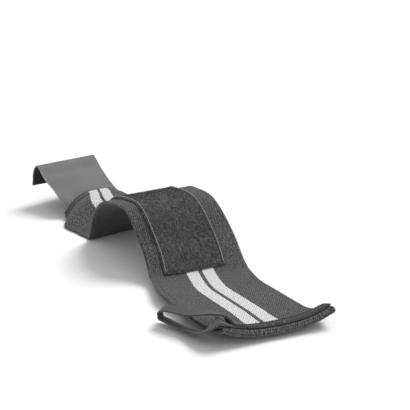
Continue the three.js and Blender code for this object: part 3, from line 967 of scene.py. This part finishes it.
class LoopPath:
    """The thumb loop's route: its two stacked tails on the hem, and the rows between them."""

    def __init__(self, lay):
        sizes, along = lay.sizes, lay.tape_middle
        forward, sideways, _ = lay.axes(along, lay.tape_near)
        askew = sizes.tape_width / 2 * abs(float(np.dot(forward, sideways)))
        across = lay.tape_near - sizes.tail_gap - askew - sizes.loop_tail / 2
        self.forward, sideways, self.up = lay.axes(along, across)
        self.outward = -sideways
        self.joint = lay.off(along, across, lay.on_band(along) + sizes.tail_rise + sizes.tape_thickness / 2)
        tail, step = sizes.loop_tail / 2, sizes.tape_thickness + sizes.seam_gap
        rows = [(-tail, 0, step, 0, 0), (0, 0, step, 0, 0), (tail, 0, step, 0, 0)]
        for row in LOOP_ROWS:
            share = dict(zip(LOOP_COLUMNS, row))
            rows.append(
                (
                    share["out"] * sizes.loop_length,
                    share["back"] * sizes.loop_length,
                    share["lift"] * sizes.loop_lift,
                    math.radians(share["turn"]),
                    math.radians(share["tilt"]),
                )
            )
        rows += [(tail, 0, 0, 0, 0), (0, 0, 0, 0, 0), (-tail, 0, 0, 0, 0)]
        distances = running([row[:3] for row in rows])
        self.length = distances[-1]
        self.rows_at = spline_through(distances, rows)

    def point(self, distance):
        out, back, lift = np.moveaxis(self.rows_at(distance)[..., :3], -1, 0)[..., None]
        return self.joint + out * self.outward - back * self.forward + lift * self.up

    def axes(self, distance):
        """The directions along the tape, across it and off its upper side."""
        run = unit(self.point(distance + PROBE) - self.point(distance - PROBE))
        turn, tilt = np.moveaxis(self.rows_at(distance)[..., 3:], -1, 0)[..., None]
        wide = np.cos(turn) * np.cos(tilt) * self.forward + np.sin(turn) * np.cos(tilt) * self.outward
        wide = wide + np.sin(tilt) * self.up
        wide = unit(wide - run * (wide * run).sum(-1, keepdims=True))
        return run, wide, np.cross(run, wide)


class WRAP_OT_loop(WrapOperator):
    """Make the thumb loop of the same tape"""

    bl_idname = "wrap.loop"
    bl_label = "Thumb loop"
    step = 0.00036

    def make(self, context, lay, colours):
        sizes = lay.sizes
        route = LoopPath(lay)
        rim = sizes.tape_thickness / 2

        def place(lengthwise, widthwise):
            _, wide, face = route.axes(lengthwise)
            ends = rounded(lengthwise, 0.0, route.length, rim)[:, None]
            share = ends * rounded(widthwise, -sizes.tape_width / 2, sizes.tape_width / 2, rim)[None]
            middle = route.point(lengthwise)[:, None] + wide[:, None] * widthwise[None, :, None]
            half = face[:, None] * (share * sizes.tape_thickness / 2)[..., None]
            t, w = np.meshgrid(lengthwise, widthwise, indexing="ij")
            return middle, half, t, w

        lengthwise = marks(0.0, route.length, self.step, rim)
        widthwise = marks(-sizes.tape_width / 2, sizes.tape_width / 2, self.step, rim)
        relief = tape_relief(sizes.tape_width)
        loop = cloth_piece("thumb_loop_cloth", place, lengthwise, widthwise, relief, tape_material(colours))
        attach(loop, BODY)
        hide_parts("thumb_loop")


# How much of a stitch's length is left free at either end, and the number of points along it.
STITCH_FREE = 0.08
STITCH_POINTS = 5


def stitch_paths(lay, along, across, lift_at, rise):
    """Arched stitches between neighbouring places of a row, and the direction off the cloth at each point."""
    along, across = np.broadcast_arrays(np.asarray(along, float), np.asarray(across, float))
    t = np.linspace(STITCH_FREE, 1 - STITCH_FREE, STITCH_POINTS)[None]
    a = along[:-1, None] * (1 - t) + along[1:, None] * t
    s = across[:-1, None] * (1 - t) + across[1:, None] * t
    arch = np.sin(math.pi * np.linspace(0, 1, STITCH_POINTS))[None] * rise
    paths = lay.off(a, s, lift_at(a) + arch)
    return paths, lay.axes(a, s)[2]


class WRAP_OT_stitches(WrapOperator):
    """Make the rows of stitches on the panel, the seam and the hem"""

    bl_idname = "wrap.stitches"
    bl_label = "Stitches"
    sides = 6
    # For each kind of row, the length of a stitch, how high it arches and the radius of its thread.
    panel_side = (0.0017, 0.0004, 0.00030)
    panel_end = (0.0019, 0.0003, 0.00022)
    zigzag = (0.0011, 0.00025, 0.00022)
    tape_row = (0.0022, 0.00025, 0.00020)
    knot = (0.0011, 0.0002, 0.00028)
    # How far the rows lie from the edges that they follow.
    panel_margin, panel_share, panel_lift = 0.0011, 0.85, 0.0002
    zigzag_margin, zigzag_low, zigzag_high = 0.0012, 0.0006, 0.0030
    tape_margin, tape_edge = 0.001, 0.0014
    knot_edge, knot_start = 0.0008, 0.012
    knot_places = (0.0, 0.0055, 0.0130)

    def rows(self, name, parts, radius, material, slot):
        """One piece of all the stitches in these parts."""
        paths = np.concatenate([paths for paths, _ in parts])
        off = np.concatenate([off for _, off in parts])
        row = tubes(name, paths, off, radius, self.sides, material)
        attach(row, BODY)

    def make(self, context, lay, colours):
        pale = thread_material("Pale thread", colours.thread)
        dark = thread_material("Dark thread", colours.dark_thread)
        self.panel_rows(lay, dark, pale)
        self.seam_rows(lay, dark)
        self.hem_rows(lay, dark, pale)

    def panel_rows(self, lay, dark, pale):
        """Pale rows along the panel's two sides, and dark ones across its ends."""
        start, end = lay.panel_start + self.panel_margin, lay.sizes.panel_end - self.panel_margin
        near, far = lay.panel_near + self.panel_margin, lay.panel_far - self.panel_margin

        def above(a):
            return lay.on_band(a) + lay.sizes.panel_thickness * self.panel_share + self.panel_lift

        pitch, rise, radius = self.panel_side
        sides = [stitch_paths(lay, np.arange(start, end, pitch), s, above, rise) for s in (near, far)]
        self.rows("panel_stitches", sides, radius, pale, "pile")
        pitch, rise, radius = self.panel_end
        ends = [stitch_paths(lay, a, np.arange(near, far, pitch), above, rise) for a in (start, end)]
        self.rows("panel_end_stitches", ends, radius, dark, "pile")

    def seam_rows(self, lay, dark):
        """A zigzag over the raw end of the band, which sews it on the tab."""

        def above(a):
            return lay.band_lift(a) + lay.sizes.band_thickness

        pitch, rise, radius = self.zigzag
        across = np.arange(lay.near_edge + self.zigzag_margin, lay.far_edge - self.zigzag_margin, pitch)
        along = np.where(np.arange(len(across)) % 2, self.zigzag_high, self.zigzag_low) - lay.sizes.tab_overlap
        self.rows("seam_stitches", [stitch_paths(lay, along, across, above, rise)], radius, dark, "elastic")

    def hem_rows(self, lay, dark, pale):
        """Two rows along the tape, and a few knots beside its outer edge."""

        def above(a):
            return lay.on_band(a) + lay.sizes.tape_thickness

        pitch, rise, radius = self.tape_row
        across = np.arange(lay.tape_near + self.tape_margin, lay.far_edge - self.tape_margin, pitch)
        reach = lay.sizes.tape_width / 2 - self.tape_edge
        rows = [stitch_paths(lay, lay.tape_middle + shift, across, above, rise) for shift in (-reach, reach)]
        self.rows("tape_stitches", rows, radius, dark, "tape")
        pitch, rise, radius = self.knot
        starts = np.array(self.knot_places) + lay.tape_near + self.knot_start
        along = lay.nose_centre - self.knot_edge
        knots = [stitch_paths(lay, along, np.array((s, s + pitch)), above, rise) for s in starts]
        self.rows("hem_knots", knots, radius, pale, "tape")


OPERATORS = (
    WRAP_OT_stage,
    WRAP_OT_band,
    WRAP_OT_tab,
    WRAP_OT_panel,
    WRAP_OT_tape,
    WRAP_OT_loop,
    WRAP_OT_stitches,
)


class WRAP_PT_sidebar(bpy.types.Panel):
    """The wrap's sizes, colours and pieces"""

    bl_label = "Wrist Wrap"
    bl_idname = "WRAP_PT_sidebar"
    bl_space_type = "VIEW_3D"
    bl_region_type = "UI"
    bl_category = "Wrist Wrap"

    def draw(self, context):
        layout = self.layout
        for operator in OPERATORS:
            layout.operator(operator.bl_idname)
        for group in ("wrap_sizes", "wrap_folds", "wrap_colours", "wrap_stage"):
            box = layout.box()
            settings = getattr(context.scene, group)
            for name in settings.bl_rna.properties.keys():
                if name not in ("rna_type", "name"):
                    box.prop(settings, name)


GROUPS = {
    "wrap_sizes": WrapSizes,
    "wrap_folds": FoldSizes,
    "wrap_colours": FinishColours,
    "wrap_stage": StageSettings,
}


CLASSES = (*GROUPS.values(), *OPERATORS, WRAP_PT_sidebar)


def register():
    for group in CLASSES:
        bpy.utils.register_class(group)
    for name, group in GROUPS.items():
        setattr(bpy.types.Scene, name, PointerProperty(type=group))


def unregister():
    for name in GROUPS:
        delattr(bpy.types.Scene, name)
    for group in reversed(CLASSES):
        bpy.utils.unregister_class(group)


def main():
    register()
    for operator in OPERATORS:
        family, name = operator.bl_idname.split(".")
        getattr(getattr(bpy.ops, family), name)()


if __name__ == "__main__":
    main()
